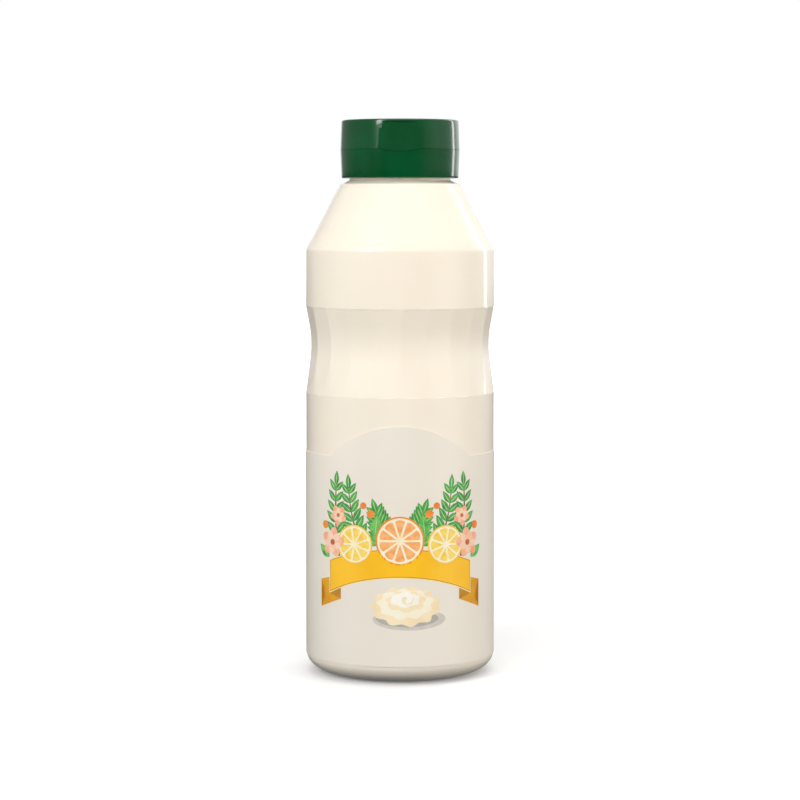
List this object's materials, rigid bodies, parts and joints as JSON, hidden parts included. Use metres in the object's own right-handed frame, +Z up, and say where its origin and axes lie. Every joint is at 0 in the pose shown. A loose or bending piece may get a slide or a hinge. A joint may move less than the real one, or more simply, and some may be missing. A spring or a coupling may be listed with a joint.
{
  "type": "mayonnaise squeeze bottle",
  "caption": "Filled round squeeze bottle of mayonnaise with a fluted grip, a wrap-around label and a shut green flip-top cap.",
  "frame": {"origin": "centre of the foot, on the surface that the bottle stands on", "axes": "+Z up along the bottle's axis, front of the label and the thumb recess towards -Y, hinge towards +Y"},
  "size_m": [0.0806, 0.0806, 0.2348],
  "materials": {
    "bottle_plastic": "glossy cream squeeze plastic with the mayonnaise showing through",
    "label_film": "satin printed film, pale ground with golden and green fields of colour",
    "cap_plastic": "smooth glossy deep green moulded plastic"
  },
  "bodies": {
    "root": {"bottle": "bottle_plastic", "label": "label_film", "cap_skirt": "cap_plastic", "cap_lid": "cap_plastic", "cap_hinge": "cap_plastic"}
  },
  "joints": []
}
